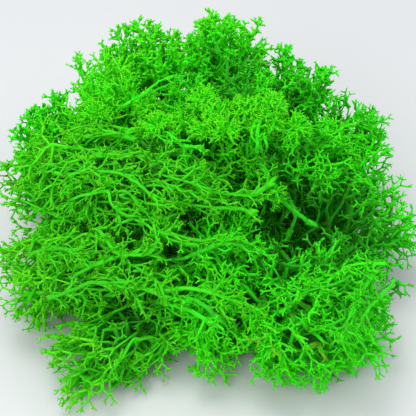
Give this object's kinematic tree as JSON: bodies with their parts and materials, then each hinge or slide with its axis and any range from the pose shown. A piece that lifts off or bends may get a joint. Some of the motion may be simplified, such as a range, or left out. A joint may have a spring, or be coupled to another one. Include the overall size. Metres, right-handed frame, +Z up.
{
  "type": "moss clump",
  "caption": "Loose heap of springy reindeer-lichen tufts dyed bright green, each a dense cushion of finely forked stalks, resting flat.",
  "frame": {"origin": "centre of the heap's footprint, on the surface that it rests on", "axes": "+X to the right of the pictured side, +Y away from the camera towards the taller back tufts, +Z up"},
  "size_m": [0.1592, 0.1544, 0.0779],
  "materials": {
    "moss_yellow_green": "matte",
    "moss_fresh_green": "matte",
    "moss_deep_green": "matte"
  },
  "bodies": {
    "root": {"tuft_left_upper": "moss_yellow_green", "tuft_left_lower": "moss_yellow_green", "tuft_front_left": "moss_yellow_green", "tuft_front_middle": "moss_fresh_green", "tuft_front_right": "moss_fresh_green", "tuft_middle": "moss_fresh_green", "tuft_middle_right": "moss_fresh_green", "tuft_right": "moss_fresh_green", "tuft_left_shoulder": "moss_fresh_green", "tuft_back_left": "moss_deep_green", "tuft_back_top_left": "moss_deep_green", "tuft_back_top": "moss_deep_green", "tuft_back_right_upper": "moss_deep_green", "tuft_back_right": "moss_deep_green"}
  },
  "joints": []
}
